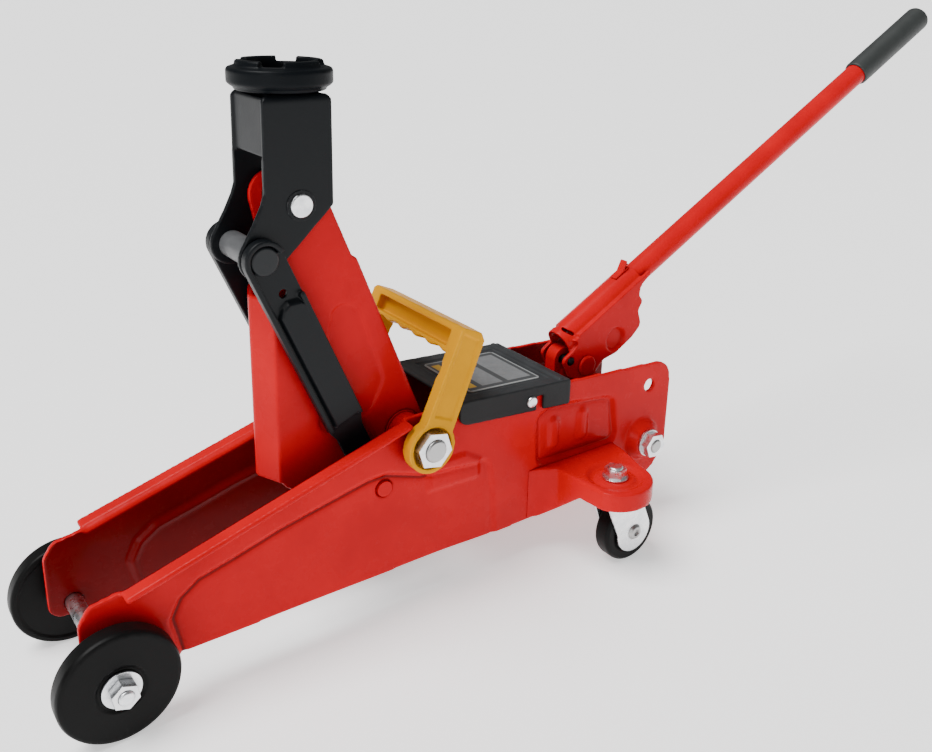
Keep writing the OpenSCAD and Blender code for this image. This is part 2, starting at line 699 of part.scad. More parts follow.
module link_place() {
  translate([link_top_x, 0, link_top_z]) rotate([0, arm_angle, 0]) children();
}

module link_left() color(black) in_frame() link_place() link_body(-1);
module link_right() color(black) in_frame() link_place() link_body(1);

// ---------- saddle bracket ----------
bracket_x0 = pin_x - 20;
bracket_x1 = pin_x + 19.5;
bracket_top = 316.5;
bracket_round = 5;
bracket_side = concat(
  arc(bracket_x0 + bracket_round, bracket_top - bracket_round, bracket_round, 90, 180, 8),
  [[bracket_x0 - 0.5, 266], [bracket_x0 - 2.5, 260], [bracket_x0 - 7, 251]],
  arc(link_top_x, link_top_z, 12, 155, 310, 20), [[bracket_x1, 257]],
  arc(bracket_x1 - bracket_round, bracket_top - bracket_round, bracket_round, 0, 90, 8));

module saddle_bracket() color(black) in_frame() {
  inner = bracket_half - bracket_t;
  difference() {
    union() {
      intersection() {
        union() {
          for (s = [-1, 1])
            slab(s > 0 ? inner : -bracket_half, s > 0 ? bracket_half : -inner) polygon(bracket_side);
          translate([bracket_x0 + bracket_round, -bracket_half + 1, bracket_top - 4])
            cube([bracket_x1 - bracket_x0 - 2 * bracket_round, 2 * bracket_half - 2, 4]);
        }
        // rounded fold between the top and the walls
        translate([bracket_x0 - 30, 0, 0]) rotate([90, 0, 90]) linear_extrude(height = 90)
          polygon(rounded([[-bracket_half, 200, 0], [bracket_half, 200, 0], [bracket_half, bracket_top, 4],
                           [-bracket_half, bracket_top, 4]]));
      }
      // folded front web
      translate([bracket_x0 + 1.2, -inner - 0.1, 284.5]) cube([bracket_t, 2 * inner + 0.2, bracket_top - 289.5]);
      translate([bracket_x0 + 1.2, -inner - 0.1, bracket_top - 6]) cube([8, 2 * inner + 0.2, 4.5]);
    }
    bar_y(pin_x, pin_z, -30, 30, saddle_pin_r);
    bar_y(link_top_x, link_top_z, -30, 30, 5);
    translate([pin_x, 0, bracket_top - 10]) cylinder(h = 20, r = 8 + run);
  }
}

module saddle_pin() color(zinc) in_frame() {
  e = bracket_half + 1.6;
  turned_y(pin_x, pin_z, [[0, -e], [saddle_pin_r - 0.6, -e], [saddle_pin_r, -e + 0.6], [saddle_pin_r, e - 0.6],
                          [saddle_pin_r - 0.6, e], [0, e]]);
}

module saddle_pin_clips() color(steel) in_frame() {
  for (s = [-1, 1])
    turned_y(pin_x, pin_z, [for (p = [[saddle_pin_r, bracket_half], [saddle_pin_r + 2, bracket_half],
             [saddle_pin_r + 2, bracket_half + 0.6], [saddle_pin_r, bracket_half + 0.6]]) [p[0], s * p[1]]]);
}

module link_pins_upper() color(black) in_frame() {
  e = link_in + link_base_t + 0.3;
  inner = bracket_half - bracket_t;
  turned_y(link_top_x, link_top_z, concat(
    [for (p = [[0, e + 2], [7, e + 2], [8, e + 1.2], [8, e], [link_pin_r, e], [link_pin_r, bracket_half], [5, bracket_half],
               [5, inner], [7.5, inner], [7.5, 0]]) [p[0], -p[1]]],
    [[7.5, inner], [5, inner], [5, bracket_half], [link_pin_r, bracket_half], [link_pin_r, e], [8, e], [8, e + 1.2],
     [7, e + 2], [0, e + 2]]));
}

// ---------- saddle ----------
lobe_h = 3.6;
lobe_r = 24.2;
cup_r = 18.5;
cup_deep = 4.3;

module saddle() color(black) in_frame() translate([pin_x, 0, 0]) {
  rim = saddle_top_z - lobe_h;
  rotate_extrude() polygon([[0, bracket_top - 7.6], [7, bracket_top - 7.6], [8, bracket_top - 7], [8, bracket_top - 6.1],
                            [6.5, bracket_top - 6.1], [6.5, bracket_top - 4.3], [8, bracket_top - 4.3],
                            [8, bracket_top + 0.4], [24, bracket_top + 0.4], [24.6, bracket_top + 2.2],
                            [saddle_r - 1.6, bracket_top + 2.8], [saddle_r, bracket_top + 4.4], [saddle_r, rim - 1.8],
                            [saddle_r - 0.6, rim - 0.6], [saddle_r - 2, rim], [lobe_r, rim], [lobe_r - 0.4, rim + 0.7],
                            [cup_r, rim + 0.7],
                            [cup_r, rim - cup_deep], [0, rim - cup_deep]]);
  // four raised lobes round the cup
  for (a = [-20 : 90 : 339]) rotate([0, 0, a])
    translate([0, 0, rim + 0.4]) rotate_extrude(angle = 58)
      polygon([[cup_r, 0], [lobe_r - 0.5, 0], [lobe_r - 1.2, lobe_h - 1], [lobe_r - 2, lobe_h - 0.4],
               [cup_r + 1.2, lobe_h - 0.4], [cup_r + 0.4, lobe_h - 1]]);
}

module saddle_ring() color(steel) in_frame() translate([pin_x, 0, bracket_top - 6]) {
  difference() {
    cylinder(h = 1.5, r = 10.5);
    translate([0, 0, -1]) cylinder(h = 4, r = 6.5);
  }
}

// ---------- handle ----------
module handle_frame() {
  translate([socket_x, 0, socket_z]) rotate([0, -handle_angle, 0]) children();
}

cheek_in = 9.9;
cheek_out = 12.9;
socket_r = 10.4;
socket_u0 = -6;
socket_u1 = 72;
plunger_u = -10;
plunger_n = 12;
cheek_shape = [[-7, 25, 1], [-1, 24, 1], [2, 19, 2], [-6, 17.5, 2], [-16, 17, 4], [-16.5, 2, 6], [-8, -9, 5], [4, -11.5, 4], [15, -8, 4],
               [27, -11.5, 4], [44, -11, 8], [56, -8, 6], [58, 4, 4], [65, 8, 3], [63.5, 14, 3], [68, 20, 3], [80, 22, 1], [80, 25, 1]];

module handle_socket() color(red) in_frame() handle_frame() {
  difference() {
    union() {
      bar_x(socket_u0, socket_u1, 0, axis_n, socket_r);
      for (s = [-1, 1])
        slab(s > 0 ? cheek_in : -cheek_out, s > 0 ? cheek_out : -cheek_in) polygon(rounded(cheek_shape, 4));
    }
    bar_x(socket_u0 - 1, socket_u1 + 1, 0, axis_n, handle_r + 0.06);
    // opening below the tube's front end for the pump plunger
    translate([socket_u0 - 1, -8, 0]) cube([17, 16, axis_n + 2]);
    translate([2, -20, axis_n + 3]) rotate([0, -30, 0]) cube([2.2, 40, 7]);
    bar_y(0, 0, -20, 20, 5 + run);
    bar_y(plunger_u, plunger_n, -20, 20, 3);
    for (s = [-1, 1]) turned_y(31, -1.5, [[0, s * (cheek_out - 0.9)], [9, s * (cheek_out - 0.9)], [10, s * (cheek_out + 1)], [0, s * (cheek_out + 1)]]);
  }
}

module socket_pin() color(zinc) in_frame() handle_frame() {
  e = cheek_out + 0.3;
  turned_y(0, 0, [[0, -e - 2], [6.5, -e - 2], [7.5, -e - 1], [7.5, -e], [5, -e], [5, e], [7.5, e], [7.5, e + 1],
                  [6.5, e + 2], [0, e + 2]]);
}

module plunger_pin() color(steel) in_frame() handle_frame() {
  e = cheek_out;
  turned_y(plunger_u, plunger_n, [[0, -e - 1], [2, -e - 1], [3, -e], [3, e], [2, e + 1], [0, e + 1]]);
}

module socket_spring_clip() color(red) in_frame() handle_frame() {
  slab(-3, 3) polygon([[56, axis_n + socket_r], [70, axis_n + socket_r], [70, axis_n + socket_r + 1], [66, axis_n + socket_r + 1.2],
                       [71, axis_n + socket_r + 5.6], [70, axis_n + socket_r + 6.4], [63, axis_n + socket_r + 1.2], [56, axis_n + socket_r + 1.2]]);
}

module handle_tube() color(red) in_frame() handle_frame() {
  difference() {
    bar_x(18, handle_len - 3, 0, axis_n, handle_r);
    bar_x(17, handle_len - 2, 0, axis_n, handle_r - 1.6);
  }
}

module handle_grip() color(black) in_frame() handle_frame() {
  g = handle_len;
  translate([0, 0, axis_n]) rotate([0, 90, 0]) rotate_extrude()
    polygon(concat([[handle_r, g - grip_len], [grip_r - 0.6, g - grip_len], [grip_r, g - grip_len + 1.5]],
                   grip_end, [[0, g], [0, g - 3], [handle_r, g - 3]]));
}

module pump_plunger() color(steel) in_frame() {
  difference() {
    union() {
      translate([plunger_x, 0, 79]) cylinder(h = 35, r = plunger_r);
      slab(-5, 5) polygon(concat([[plunger_x - 8.5, 113.4], [plunger_x + 8.5, 113.4]],
                                 arc(plunger_x, plunger_rest, 8.5, 0, 180, 24)));
    }
    slab(-20, 20) polygon(concat(arc(plunger_x + 1.8, plunger_rest + 0.15, 3.5, -90, 90, 16),
                                 arc(plunger_x - 1.8, plunger_rest + 0.15, 3.5, 90, 270, 16)));
  }
}

// ---------- carrying handle ----------
strap_half = 9.5;
bail_grip = 18;

module carry_handle() color([0.98, 0.66, 0.16]) in_frame()
  translate([pivot_x, 0, pivot_z]) rotate([0, -bail_angle, 0]) {
    difference() {
      union() {
        for (s = [-1, 1])
          slab(s > 0 ? bail_in : -bail_out, s > 0 ? bail_out : -bail_in)
            polygon(concat(arc(0, 0, 16, 40, 320, 32), [[bail_len - 4, -strap_half], [bail_len, -strap_half + 4],
                           [bail_len, strap_half - 2], [bail_len - 2, strap_half]]));
        slab(-bail_in - 0.1, bail_in + 0.1)
          polygon(rounded([[bail_len - bail_grip, -strap_half, 4], [bail_len, -strap_half, 4],
                           [bail_len, strap_half, 2], [bail_len - bail_grip, strap_half, 2]]));
      }
      for (s = [-1, 1]) {
        bar_y(0, 0, s > 0 ? 30 : -60, s > 0 ? 60 : -30, pivot_bolt_r + run);
        // sunken seat for the pivot nut
        bar_y(0, 0, s > 0 ? bail_out - ring_sink : -60, s > 0 ? 60 : -bail_out + ring_sink, 13.2);
      }
      // finger grooves along the inner side of the grip
      for (k = [-2 : 2]) translate([bail_len - bail_grip - 10, 15.5 * k, -20]) cylinder(h = 40, r = 12);
      // long hollow in the grip's front face
      translate([bail_len - bail_grip + 4, -bail_in + 2, strap_half - 6])
        cube([bail_grip - 8, 2 * bail_in - 4, 10]);
    }
  }

side_plate_left();
side_plate_right();
front_axle();
front_wheel_washers();
front_wheel_nuts();
arm_pivot_bolt();
arm_pivot_spacers();
arm_pivot_nuts();
link_pivot_pins();
rear_cross_bolt();
rear_cross_nuts();
castor_bracket_left();
castor_bracket_right();
pump_block();
block_bolts();
oil_reservoir();
ram_cylinder();
gland_nut();
pump_cylinder();
filler_plug();
release_valve();
power_cover();
cover_screws();
ram();
ram_piston();
lift_arm();
arm_bush();
crank_pin();
link_left();
link_right();
saddle_bracket();
saddle_pin();
saddle_pin_clips();
link_pins_upper();
saddle();
saddle_ring();
handle_socket();
socket_pin();
plunger_pin();
socket_spring_clip();
pump_plunger();
handle_tube();
handle_grip();
carry_handle();
front_wheel_left();
front_wheel_right();
castor_fork_left();
castor_fork_right();
castor_nut_left();
castor_nut_right();
castor_wheel_left();
castor_wheel_right();
castor_axle_left();
castor_axle_right();
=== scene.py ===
"""Looks for the trolley jack: materials, softened edges, finer pieces, light and camera."""

import json
import math

import bmesh
import bpy
from mathutils import Matrix, Vector
from mathutils.bvhtree import BVHTree


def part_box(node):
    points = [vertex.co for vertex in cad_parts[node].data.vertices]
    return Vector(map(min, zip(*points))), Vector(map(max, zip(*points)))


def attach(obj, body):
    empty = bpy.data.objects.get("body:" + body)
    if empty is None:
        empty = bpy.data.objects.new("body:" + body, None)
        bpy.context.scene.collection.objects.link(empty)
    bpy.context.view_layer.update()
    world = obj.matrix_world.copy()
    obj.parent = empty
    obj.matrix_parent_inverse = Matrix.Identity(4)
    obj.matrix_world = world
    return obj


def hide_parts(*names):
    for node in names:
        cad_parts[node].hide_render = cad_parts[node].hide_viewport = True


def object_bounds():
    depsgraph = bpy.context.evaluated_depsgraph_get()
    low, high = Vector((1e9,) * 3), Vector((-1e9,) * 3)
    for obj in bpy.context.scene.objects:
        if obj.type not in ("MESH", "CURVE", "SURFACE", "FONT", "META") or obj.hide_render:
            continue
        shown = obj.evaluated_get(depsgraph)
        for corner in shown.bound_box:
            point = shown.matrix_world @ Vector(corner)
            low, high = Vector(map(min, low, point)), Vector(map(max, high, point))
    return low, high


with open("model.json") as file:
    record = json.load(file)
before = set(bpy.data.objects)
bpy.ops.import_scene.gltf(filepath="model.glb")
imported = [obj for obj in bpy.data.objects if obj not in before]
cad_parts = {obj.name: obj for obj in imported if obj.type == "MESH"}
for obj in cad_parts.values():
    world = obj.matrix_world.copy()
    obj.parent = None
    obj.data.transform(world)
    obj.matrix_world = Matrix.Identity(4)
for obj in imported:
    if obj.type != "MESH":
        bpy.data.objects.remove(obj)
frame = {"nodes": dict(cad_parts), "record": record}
cad_low, cad_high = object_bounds()
nodes = frame["nodes"]
record = frame["record"]
SLOTS = {part["node"]: part["material_slot"] for part in record["subparts"]}
BODIES = {node: body for body, held in record["behaviour"]["bodies"].items() for node in held}
MM = 0.001
# Shapes are given in the designer's frame: millimetres behind the front axle, out to a side, and up
AXLE_X = (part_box("front_axle")[0].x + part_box("front_axle")[1].x) / 2
# Side plate: where its outer face is, its thickness, and how deep the CAD model cuts its panels
PLATE_OUT = 36.5
PLATE_T = 3.5
PANEL_DEPTH = 1.2


def in_scene(name, data):
    """A new object for the data, in the scene."""
    thing = bpy.data.objects.new(name, data)
    bpy.context.scene.collection.objects.link(thing)
    return thing


# ---------- camera ----------
# The photograph's viewpoint: where the lens is from the front axle, and how it is turned
CAMERA_PLACE = Vector((AXLE_X - 0.101, -0.4755, 0.3757))
CAMERA_RIGHT = Vector((0.8101, -0.5858, 0.0233))
CAMERA_UP = Vector((0.1612, 0.2608, 0.9518))
CAMERA_BACK = Vector((-0.5637, -0.7673, 0.3057))
LENS = 37.48
SENSOR = 36
SHIFT = (-0.0021, -0.0951)
SEEN_FROM, SEEN_TO = 0.01, 400


def make_camera():
    camera = in_scene("photo_view", bpy.data.cameras.new("photo_view"))
    camera.data.sensor_width = SENSOR
    camera.data.lens = LENS
    camera.data.shift_x, camera.data.shift_y = SHIFT
    camera.data.clip_start, camera.data.clip_end = SEEN_FROM, SEEN_TO
    turn = Matrix((CAMERA_RIGHT, CAMERA_UP, CAMERA_BACK)).transposed()
    camera.matrix_world = Matrix.Translation(CAMERA_PLACE) @ turn.to_4x4()
    bpy.context.scene.camera = camera


# ---------- material helpers ----------
class Look:
    """A node material that is built up step by step around one Principled shader."""

    def __init__(self, name, metallic=0.0, coat=0.0, coat_roughness=0.1, specular=0.5):
        self.material = bpy.data.materials.new(name)
        self.material.use_nodes = True
        self.tree = self.material.node_tree
        self.shader = self.tree.nodes["Principled BSDF"]
        self.shader.inputs["Metallic"].default_value = metallic
        self.shader.inputs["Coat Weight"].default_value = coat
        self.shader.inputs["Coat Roughness"].default_value = coat_roughness
        self.shader.inputs["Specular IOR Level"].default_value = specular
        self.place = self.add("TexCoord").outputs["Object"]
        self.relief = None

    def add(self, kind):
        return self.tree.nodes.new("ShaderNode" + kind)

    def put(self, value, socket):
        if isinstance(value, bpy.types.NodeSocket):
            self.tree.links.new(value, socket)
        elif isinstance(value, tuple) and len(value) == 3 and socket.type == "RGBA":
            socket.default_value = (*value, 1)
        else:
            socket.default_value = value

    def stretched(self, scale):
        mapping = self.add("Mapping")
        self.put(self.place, mapping.inputs["Vector"])
        mapping.inputs["Scale"].default_value = scale
        return mapping.outputs["Vector"]

    def noise(self, scale, detail, roughness, place=None):
        n = self.add("TexNoise")
        self.put(place or self.place, n.inputs["Vector"])
        n.inputs["Scale"].default_value = scale
        n.inputs["Detail"].default_value = detail
        n.inputs["Roughness"].default_value = roughness
        return n.outputs["Fac"]

    def patches(self, scale, detail, roughness, low, high):
        """0 and 1 in patches of noise, with soft rims."""
        return self.ramp(self.noise(scale, detail, roughness), low, high)

    def cells(self, scale):
        n = self.add("TexVoronoi")
        self.put(self.place, n.inputs["Vector"])
        n.inputs["Scale"].default_value = scale
        return n.outputs["Distance"]

    def part_of(self, vector, axis):
        n = self.add("SeparateXYZ")
        self.put(vector, n.inputs[0])
        return n.outputs[axis]

    def along(self, axis):
        """Where the point is along X, Y or Z, in metres."""
        return self.part_of(self.place, axis)

    def ramp(self, value, low, high, at_low=0.0, at_high=1.0):
        n = self.add("MapRange")
        self.put(value, n.inputs["Value"])
        stops = {"From Min": low, "From Max": high, "To Min": at_low, "To Max": at_high}
        for name, stop in stops.items():
            n.inputs[name].default_value = stop
        return n.outputs["Result"]

    def maths(self, operation, a, b):
        n = self.add("Math")
        n.operation = operation
        self.put(a, n.inputs[0])
        self.put(b, n.inputs[1])
        return n.outputs["Value"]

    def times(self, a, b):
        return self.maths("MULTIPLY", a, b)

    def mixed(self, share, a, b):
        n = self.add("Mix")
        n.data_type = "RGBA"
        colours = [s for s in n.inputs if s.type == "RGBA"]
        self.put(share, n.inputs["Factor"])
        self.put(a, colours[0])
        self.put(b, colours[1])
        return next(s for s in n.outputs if s.type == "RGBA")

    def tinted(self, colour, where, strength, tint):
        """The colour, going over to the tint where the mask is 1."""
        return self.mixed(self.times(where, strength), colour, tint)

    def edges(self, radius, low, high):
        """0 on open faces and 1 along edges."""
        bevel = self.add("Bevel")
        bevel.samples = 4
        bevel.inputs["Radius"].default_value = radius
        dot = self.add("VectorMath")
        dot.operation = "DOT_PRODUCT"
        self.put(bevel.outputs["Normal"], dot.inputs[0])
        self.put(self.add("NewGeometry").outputs["Normal"], dot.inputs[1])
        return self.ramp(dot.outputs["Value"], high, low)

    def facing_up(self):
        """1 on level tops, 0 on walls."""
        return self.ramp(self.part_of(self.add("NewGeometry").outputs["Normal"], 2), 0.5, 0.9)

    def crevices(self, distance, low, high):
        """0 in the open and 1 in corners."""
        n = self.add("AmbientOcclusion")
        n.samples = 4
        n.inputs["Distance"].default_value = distance
        return self.ramp(n.outputs["AO"], low, high, 1.0, 0.0)

    def bump(self, height, strength, distance):
        n = self.add("Bump")
        self.put(height, n.inputs["Height"])
        n.inputs["Strength"].default_value = strength
        n.inputs["Distance"].default_value = distance
        if self.relief is not None:
            self.put(self.relief, n.inputs["Normal"])
        self.relief = n.outputs["Normal"]

    def done(self, colour, roughness):
        self.put(colour, self.shader.inputs["Base Color"])
        self.put(roughness, self.shader.inputs["Roughness"])
        if self.relief is not None:
            self.put(self.relief, self.shader.inputs["Normal"])
        return self.material


# ---------- materials ----------
# How far from the middle plane the link pins are rubbed, in millimetres
RUBBED_TO = 18


def red_paint(name="red_enamel", inner_y=None):
    """Enamel over pressed steel: slight orange peel, scuffs, painted shade in corners and, when
    inner_y is given, on the sheet's inner side, and lighter edges that are partly thinner paint and
    partly a painted highlight.
    """
    look = Look(name, coat=0.02, coat_roughness=0.10, specular=0.07)
    cloud = look.patches(22, 4, 0.55, 0.35, 0.65)
    colour = look.mixed(cloud, (0.50, 0.0015, 0.006), (0.60, 0.0025, 0.008))
    if inner_y:
        # painted shade: the sheet's inner side is coloured dark red in uneven patches, standing in
        # for the shade between the plates
        away = look.maths("ABSOLUTE", look.along(1), 0.0)
        inside = look.ramp(away, inner_y, inner_y + 0.4 * MM, 1.0, 0.0)
        inner_shade = look.mixed(look.noise(30, 5, 0.6), (0.10, 0.001, 0.0015), (0.19, 0.002, 0.003))
        colour = look.mixed(inside, colour, inner_shade)
    # painted shade: darker in corners and enclosed places, where the ambient occlusion is low, in
    # uneven patches
    shade_patchiness = look.ramp(look.noise(55, 5, 0.65), 0.3, 0.7, 0.6, 1.0)
    corner_shade = look.times(look.crevices(0.022, 0.10, 0.80), shade_patchiness)
    colour = look.tinted(colour, corner_shade, 0.9, (0.10, 0.002, 0.002))
    # lighter red along edges in patches: partly paint worn thin, partly a painted highlight
    wear_and_highlight_spots = look.patches(380, 4, 0.7, 0.55, 0.64)
    edge = look.times(look.edges(0.0011, 0.80, 0.985), wear_and_highlight_spots)
    colour = look.tinted(colour, edge, 0.55, (0.82, 0.10, 0.09))
    scuffs = look.times(look.patches(120, 6, 0.7, 0.52, 0.75), 0.06)
    roughness = look.maths("ADD", look.ramp(cloud, 0.0, 1.0, 0.24, 0.29), scuffs)
    look.bump(look.noise(650, 2, 0.5), 0.06, 0.0003)
    look.bump(look.noise(18, 2, 0.4), 0.06, 0.0010)
    return look.done(colour, roughness)


def black_paint(name="black_satin", specular=0.17):
    """Satin black baked paint, a little blue, with edges lighter in patches: partly rubbed paint,
    partly a painted highlight.
    """
    look = Look(name, coat=0.02, coat_roughness=0.22, specular=specular)
    cloud = look.noise(35, 4, 0.6)
    colour = look.mixed(cloud, (0.002, 0.0028, 0.0038), (0.005, 0.0065, 0.008))
    # lighter grey along edges in patches: partly rubbed paint, partly a painted highlight
    wear_and_highlight_spots = look.patches(420, 4, 0.7, 0.5, 0.62)
    edge = look.times(look.edges(0.0010, 0.80, 0.985), wear_and_highlight_spots)
    colour = look.tinted(colour, edge, 0.6, (0.16, 0.165, 0.17))
    look.bump(look.noise(900, 2, 0.5), 0.14, 0.0003)
    look.bump(look.noise(40, 2, 0.5), 0.10, 0.0010)
    return look.done(colour, look.ramp(cloud, 0.2, 0.8, 0.34, 0.48))


def zinc_plate():
    """Bright zinc plating: mottled sheen and fine turning marks."""
    look = Look("bright_zinc", metallic=1.0)
    cloud = look.patches(260, 4, 0.6, 0.3, 0.7)
    colour = look.mixed(cloud, (0.92, 0.93, 0.94), (0.76, 0.78, 0.81))
    # painted shade: darker in corners, where the ambient occlusion is low
    colour = look.tinted(colour, look.crevices(0.004, 0.2, 0.9), 0.6, (0.16, 0.15, 0.15))
    look.bump(look.noise(1500, 3, 0.6), 0.12, 0.0002)
    look.bump(look.noise(500, 2, 0.5, look.stretched((1.0, 6.0, 1.0))), 0.10, 0.0002)
    return look.done(colour, look.ramp(cloud, 0.0, 1.0, 0.22, 0.38))


def bare_steel():
    """Oiled machined steel, darker than the zinc, with drawn marks."""
    look = Look("oiled_steel", metallic=1.0)
    cloud = look.noise(180, 5, 0.65)
    colour = look.mixed(cloud, (0.36, 0.355, 0.35), (0.50, 0.50, 0.50))
    # painted shade: darker in corners, where the ambient occlusion is low
    colour = look.tinted(colour, look.crevices(0.006, 0.1, 0.8), 0.7, (0.05, 0.045, 0.04))
    look.bump(look.noise(900, 3, 0.6, look.stretched((0.2, 3.0, 3.0))), 0.18, 0.0002)
    return look.done(colour, look.ramp(cloud, 0.2, 0.8, 0.26, 0.46))


def wheel_plastic():
    """Hard black nylon wheel: moulded sheen, a dusting in the corners, and edges lighter in patches
    that are partly rolling scuffs and partly a painted highlight.
    """
    look = Look("black_nylon", specular=0.09)
    cloud = look.noise(60, 5, 0.6)
    colour = look.mixed(cloud, (0.003, 0.003, 0.003), (0.006, 0.006, 0.006))
    colour = look.tinted(colour, look.crevices(0.006, 0.2, 0.9), 0.35, (0.014, 0.013, 0.012))
    # lighter along edges in patches: partly rolling scuffs, partly a painted highlight
    edge = look.times(look.edges(0.0012, 0.85, 0.99), look.patches(300, 3, 0.7, 0.4, 0.6))
    colour = look.tinted(colour, edge, 0.5, (0.035, 0.035, 0.035))
    look.bump(look.noise(700, 3, 0.6), 0.16, 0.0003)
    return look.done(colour, look.ramp(cloud, 0.25, 0.75, 0.33, 0.48))


def cover_plastic():
    """Matte moulded cover with a fine spark-eroded grain, a painted highlight along every edge, and
    a top that is lighter partly from a dusting and partly as a painted top light.
    """
    look = Look("grained_cover", specular=0.20)
    cloud = look.noise(45, 3, 0.5)
    colour = look.mixed(cloud, (0.005, 0.006, 0.0065), (0.010, 0.011, 0.012))
    # painted highlight: every edge lighter grey
    colour = look.tinted(colour, look.edges(0.0009, 0.85, 0.99), 0.35, (0.09, 0.095, 0.10))
    # lighter on level tops: partly a dusting, partly a painted top light
    dust_and_top_light = look.times(look.facing_up(), look.ramp(look.noise(80, 5, 0.65), 0.3, 0.7, 0.6, 1.0))
    colour = look.tinted(colour, dust_and_top_light, 0.7, (0.050, 0.053, 0.056))
    look.bump(look.cells(1500), 0.30, 0.0002)
    look.bump(look.noise(60, 2, 0.5), 0.08, 0.0008)
    return look.done(colour, look.ramp(cloud, 0.2, 0.8, 0.42, 0.55))


def grip_rubber():
    """Soft PVC grip with faint flow marks and fingerprints."""
    look = Look("grip_rubber", specular=0.35)
    cloud = look.noise(70, 5, 0.65)
    colour = look.mixed(cloud, (0.020, 0.023, 0.022), (0.036, 0.040, 0.039))
    look.bump(look.noise(1300, 3, 0.6), 0.30, 0.0003)
    look.bump(look.noise(90, 3, 0.5), 0.14, 0.0007)
    return look.done(colour, look.ramp(cloud, 0.2, 0.8, 0.46, 0.62))


def yellow_plastic():
    """Glass-filled yellow nylon: fine grain, painted shade in the corners, and edges brighter in
    patches that are partly rubbed and partly a painted highlight.
    """
    look = Look("yellow_nylon", specular=0.05)
    cloud = look.patches(40, 4, 0.6, 0.3, 0.7)
    colour = look.mixed(cloud, (0.62, 0.275, 0.0), (0.70, 0.31, 0.0))
    # painted shade: darker orange in corners, where the ambient occlusion is low
    colour = look.tinted(colour, look.crevices(0.006, 0.15, 0.85), 0.55, (0.30, 0.10, 0.01))
    # brighter yellow along edges in patches: partly rubbed, partly a painted highlight
    edge = look.times(look.edges(0.0010, 0.85, 0.99), look.patches(260, 3, 0.7, 0.4, 0.6))
    colour = look.tinted(colour, edge, 0.4, (1.0, 0.62, 0.16))
    look.bump(look.noise(1100, 3, 0.6), 0.16, 0.0003)
    return look.done(colour, look.ramp(cloud, 0.0, 1.0, 0.33, 0.44))


def pin_finish():
    """The link pins: rubbed bright between the bracket's walls, and painted black at their heads."""
    look = Look("rubbed_pin", specular=0.3)
    cloud = look.noise(160, 5, 0.65)
    rubbed = look.mixed(cloud, (0.045, 0.047, 0.05), (0.12, 0.122, 0.125))
    paint = look.mixed(cloud, (0.004, 0.0052, 0.0065), (0.0085, 0.0105, 0.0125))
    away = look.maths("ABSOLUTE", look.along(1), 0.0)
    between = look.ramp(away, RUBBED_TO * MM, (RUBBED_TO + 1) * MM, 1.0, 0.0)
    look.bump(look.noise(700, 3, 0.6, look.stretched((3.0, 0.3, 3.0))), 0.16, 0.0002)
    return look.done(look.mixed(between, paint, rubbed), look.ramp(cloud, 0.2, 0.8, 0.32, 0.48))


MAKERS = {
    "red_paint": red_paint,
    "black_paint": black_paint,
    "zinc_plate": zinc_plate,
    "steel": bare_steel,
    "wheel_black": wheel_plastic,
    "cover_black": cover_plastic,
    "grip_rubber": grip_rubber,
    "yellow_plastic": yellow_plastic,
}


# ---------- CAD nodes: finish and softened edges ----------
WELD = 0.01 * MM
EDGE_WIDTH = 0.4 * MM
SHARP_ANGLE = math.radians(32)
FLAT_ANGLE = math.radians(0.7)


def weld(piece):
    """Shades the piece smoothly and joins its coincident corners, leaving its own mesh alone."""
    for polygon in piece.data.polygons:
        polygon.use_smooth = True
    piece.modifiers.new("weld", "WELD").merge_threshold = WELD


def soften(piece, width):
    """Rounds the piece's sharp edges a little."""
    bevel = piece.modifiers.new("edge", "BEVEL")
    bevel.width = width
    bevel.segments = 2
    bevel.limit_method = "ANGLE"
    bevel.angle_limit = SHARP_ANGLE
    bevel.use_clamp_overlap = True
    bevel.miter_outer = "MITER_ARC"
    piece.modifiers.new("normal", "WEIGHTED_NORMAL").keep_sharp = True


def finish_cad_nodes(looks):
    for name, piece in nodes.items():
        piece.data.materials.clear()
        piece.data.materials.append(looks[SLOTS[name]])
        weld(piece)
        flat = piece.modifiers.new("flat", "DECIMATE")
        flat.decimate_type = "DISSOLVE"
        flat.angle_limit = FLAT_ANGLE
        soften(piece, EDGE_WIDTH)


# ---------- pieces that stand in for CAD nodes ----------
def formed_mesh(name, voxel, rounds):
    """A copy of a CAD node's mesh with its edges rounded as a pressing or moulding has them."""
    draft = in_scene("draft", nodes[name].data.copy())
    draft.modifiers.new("weld", "WELD").merge_threshold = WELD
    rebuilt = draft.modifiers.new("rebuilt", "REMESH")
    rebuilt.mode = "VOXEL"
    rebuilt.voxel_size = voxel * MM
    rebuilt.use_smooth_shade = True
    even = draft.modifiers.new("even", "SMOOTH")
    even.factor = 0.5
    even.iterations = rounds
    shown = draft.evaluated_get(bpy.context.evaluated_depsgraph_get())
    mesh = bpy.data.meshes.new_from_object(shown)
    bpy.data.objects.remove(draft)
    mesh.name = name + "_formed"
    return mesh


def stand_in(mesh, name, look):
    """Makes a piece of the mesh and lets it stand for the CAD node."""
    mesh.materials.clear()
    mesh.materials.append(look)
    for polygon in mesh.polygons:
        polygon.use_smooth = True
    piece = in_scene(mesh.name, mesh)
    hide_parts(name)
    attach(piece, BODIES[name])


def design(co):
    """A point in the designer's frame, with both sides of the jack folded onto one."""
    return (co.x - AXLE_X) / MM, abs(co.y) / MM, co.z / MM


def at_side(co, y):
    """The point, moved to y millimetres from the jack's middle plane on its own side."""
    return Vector((co.x, math.copysign(y * MM, co.y), co.z))


def at_height(co, z):
    """The point, moved to a height of z millimetres."""
    return Vector((co.x, co.y, z * MM))


def turned(x, z, centre, angle):
    """How far a point is along and across a direction from a centre."""
    dx, dz = x - centre[0], z - centre[1]
    along = dx * math.cos(angle) + dz * math.sin(angle)
    across = -dx * math.sin(angle) + dz * math.cos(angle)
    return along, across


